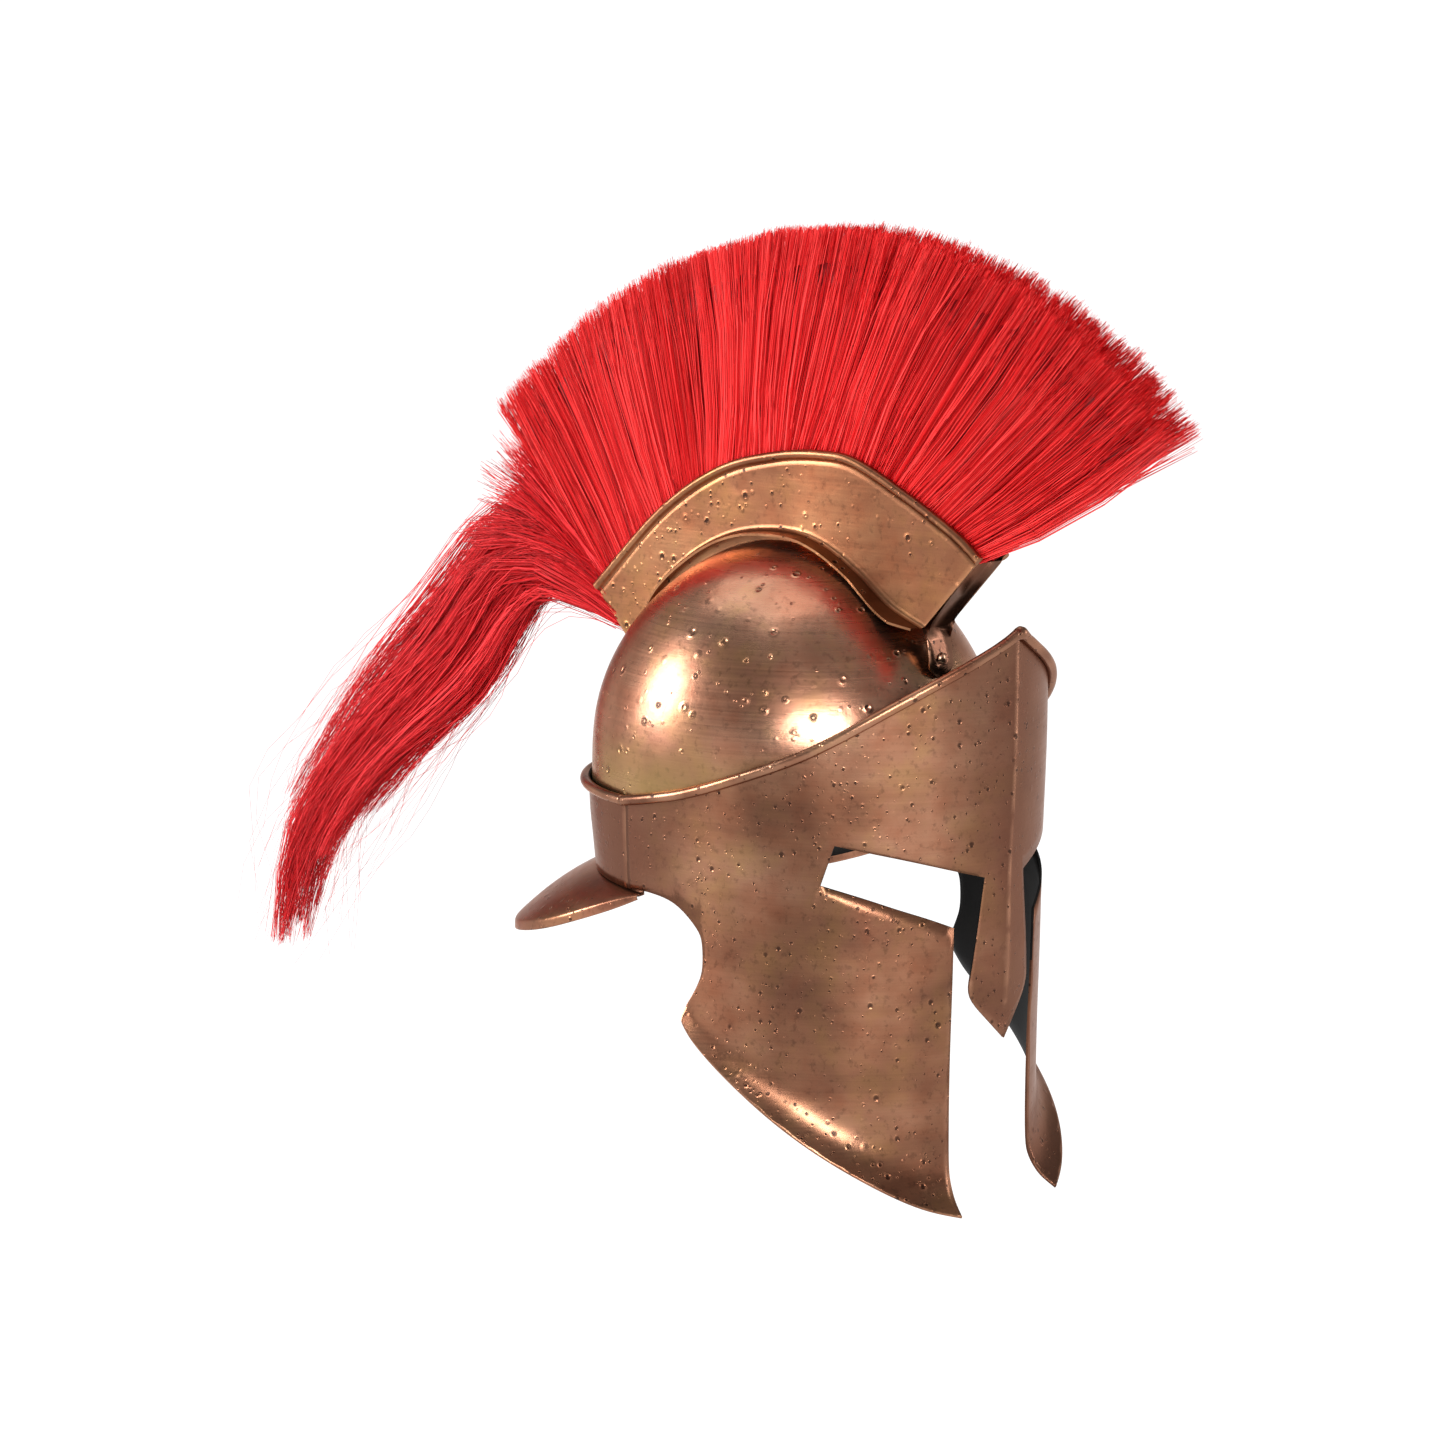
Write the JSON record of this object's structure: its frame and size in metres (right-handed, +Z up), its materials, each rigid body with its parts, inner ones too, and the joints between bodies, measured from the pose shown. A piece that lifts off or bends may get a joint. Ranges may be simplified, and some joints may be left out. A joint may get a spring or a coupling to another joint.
{
  "type": "crested helmet",
  "caption": "Open-bottomed sheet metal helmet with T-shaped face opening, cheek plates, neck guard, and a long box crest holding upright red hair and a hanging hair tail.",
  "frame": {"origin": "inner face of the crown, on the middle plane: the point that rests on top of the head", "axes": "+Z up, -Y towards the face opening, X from side to side with the object symmetric about X = 0"},
  "size_m": [0.2252, 0.6451, 0.4812],
  "materials": {
    "skull": "antiqued copper plate on pitted, brushed sheet steel",
    "visor": "antiqued copper plate on pitted, brushed sheet steel",
    "nape_band": "antiqued copper plate on pitted, brushed sheet steel",
    "neck_guard": "antiqued copper plate on pitted, brushed sheet steel",
    "crest_box": "antiqued copper plate on pitted, brushed sheet steel",
    "crest_cap": "dark antiqued copper plate on steel",
    "front_rivet": "dark antiqued copper plate on steel",
    "crest_hair": "bright red dyed bristle",
    "tail_hair": "bright red dyed bristle"
  },
  "bodies": {
    "root": {"skull": "skull", "visor": "visor", "nape_band": "nape_band", "neck_guard": "neck_guard", "crest_box": "crest_box", "crest_cap": "crest_cap", "front_rivet": "front_rivet", "crest_hair": "crest_hair", "tail_hair": "tail_hair"}
  },
  "joints": []
}
